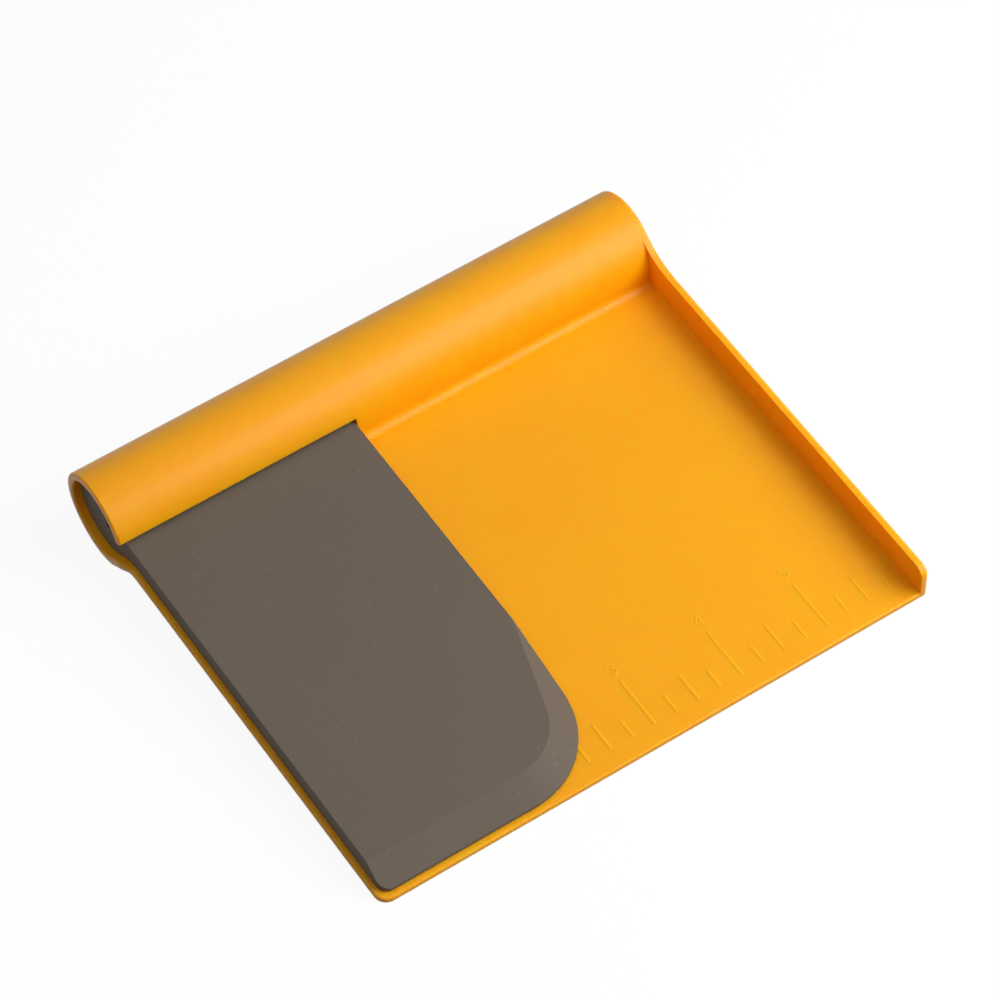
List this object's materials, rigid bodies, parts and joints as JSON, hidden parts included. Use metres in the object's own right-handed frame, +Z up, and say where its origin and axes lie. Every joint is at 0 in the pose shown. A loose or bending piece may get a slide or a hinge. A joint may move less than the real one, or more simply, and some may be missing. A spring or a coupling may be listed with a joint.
{
  "type": "bowl scraper set",
  "caption": "Flat bench scraper with a tubular handle and a side wall, and a soft bowl scraper whose round root slides in the handle's bore.",
  "frame": {"origin": "On the table surface, in the middle of the width and the depth, as the set lies on its front edge and on the underside of its tube.", "axes": "+X to the right along the tube, from its open end to its closed end; +Y from the front edge to the tube; +Z up."},
  "size_m": [0.159, 0.142, 0.0262],
  "materials": {
    "bench_scraper_body": "satin moulded orange plastic",
    "bowl_scraper_silicone": "matt grey-brown silicone",
    "bowl_scraper_core": "plain moulded nylon, hidden in the silicone"
  },
  "bodies": {
    "bench_scraper": {"bench_scraper_body": "bench_scraper_body"},
    "bowl_scraper": {"bowl_scraper_silicone": "bowl_scraper_silicone", "bowl_scraper_core": "bowl_scraper_core"}
  },
  "joints": [
    {"name": "bowl_scraper_slide", "type": "slide", "parent": "bench_scraper", "child": "bowl_scraper", "axis": [-1, 0, 0], "range_m": [0, 0.075]}
  ]
}
